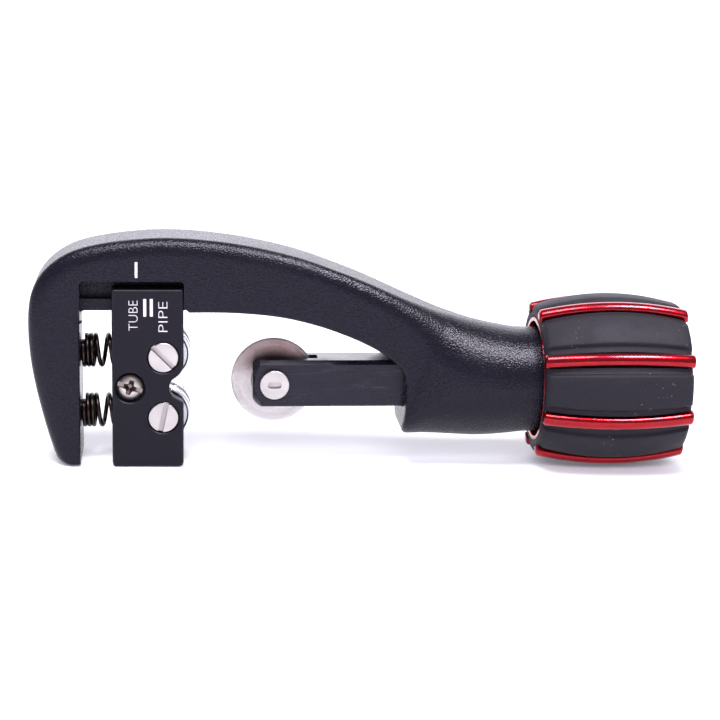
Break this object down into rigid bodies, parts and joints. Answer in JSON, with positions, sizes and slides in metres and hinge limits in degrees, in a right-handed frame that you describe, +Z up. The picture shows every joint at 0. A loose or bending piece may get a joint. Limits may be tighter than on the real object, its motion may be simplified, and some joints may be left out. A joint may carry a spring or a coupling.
{
  "type": "pipe cutter",
  "caption": "C-shaped hand pipe cutter with a screw-fed wheel slide, a sprung roller carriage on a rail and a ribbed barrel knob.",
  "frame": {"origin": "centre of the bounding box's underside, on the surface that the cutter stands on", "axes": "+X from the arm to the knob along the feed screw, +Y away from the marked side, +Z up"},
  "size_m": [0.1388, 0.0368, 0.0496],
  "materials": {
    "black_coat": "satin textured powder coat",
    "bright_chrome": "polished",
    "nickel_plate": "satin nickel",
    "dark_steel": "oil blackened",
    "black_oxide": "satin",
    "tool_steel": "ground",
    "bearing_brass": "turned",
    "red_anodised": "glossy anodised",
    "grip_rubber": "matt",
    "black_plastic": "matt"
  },
  "bodies": {
    "frame": {"frame_body": "black_coat", "neck_bush": "bearing_brass", "upper_spring": "dark_steel", "lower_spring": "dark_steel"},
    "carriage": {"carriage_near_half": "black_coat", "carriage_far_half": "black_coat", "upper_roller_screw": "nickel_plate", "lower_roller_screw": "nickel_plate", "carriage_screw": "nickel_plate"},
    "upper_roller": {"upper_roller": "bright_chrome"},
    "lower_roller": {"lower_roller": "bright_chrome"},
    "slide": {"slide_bar": "black_oxide", "wheel_pin": "nickel_plate", "wheel_pin_clip": "dark_steel"},
    "wheel": {"cutter_wheel": "tool_steel"},
    "knob": {"feed_screw": "tool_steel", "thrust_washer": "nickel_plate", "knob_core": "red_anodised", "knob_grip": "grip_rubber", "knob_washer": "nickel_plate", "knob_screw": "dark_steel", "knob_cap": "black_plastic"}
  },
  "joints": [
    {"name": "knob_turn", "type": "hinge", "parent": "frame", "child": "knob", "pos_m": [0.0535, 0, 0.0184], "axis": [-1, 0, 0], "range_deg": [-4320, 2160]},
    {"name": "slide_feed", "type": "slide", "parent": "frame", "child": "slide", "axis": [-1, 0, 0], "range_m": [-0.018, 0.009]},
    {"name": "wheel_spin", "type": "hinge", "parent": "slide", "child": "wheel", "pos_m": [-0.0181, 0, 0.0184], "axis": [0, 1, 0], "continuous": true},
    {"name": "carriage_slide", "type": "slide", "parent": "frame", "child": "carriage", "axis": [-1, 0, 0], "range_m": [0, 0.0045], "stiffness_N_per_m": 4000, "springref_m": -0.003, "deforming": ["upper_spring", "lower_spring"]},
    {"name": "upper_roller_spin", "type": "hinge", "parent": "carriage", "child": "upper_roller", "pos_m": [-0.04135, 0, 0.0248], "axis": [0, 1, 0], "continuous": true},
    {"name": "lower_roller_spin", "type": "hinge", "parent": "carriage", "child": "lower_roller", "pos_m": [-0.04135, 0, 0.012], "axis": [0, 1, 0], "continuous": true}
  ],
  "couplings": [
    {"joint": "slide_feed", "follows": "knob_turn", "m_per_rad": 0.00023873}
  ]
}
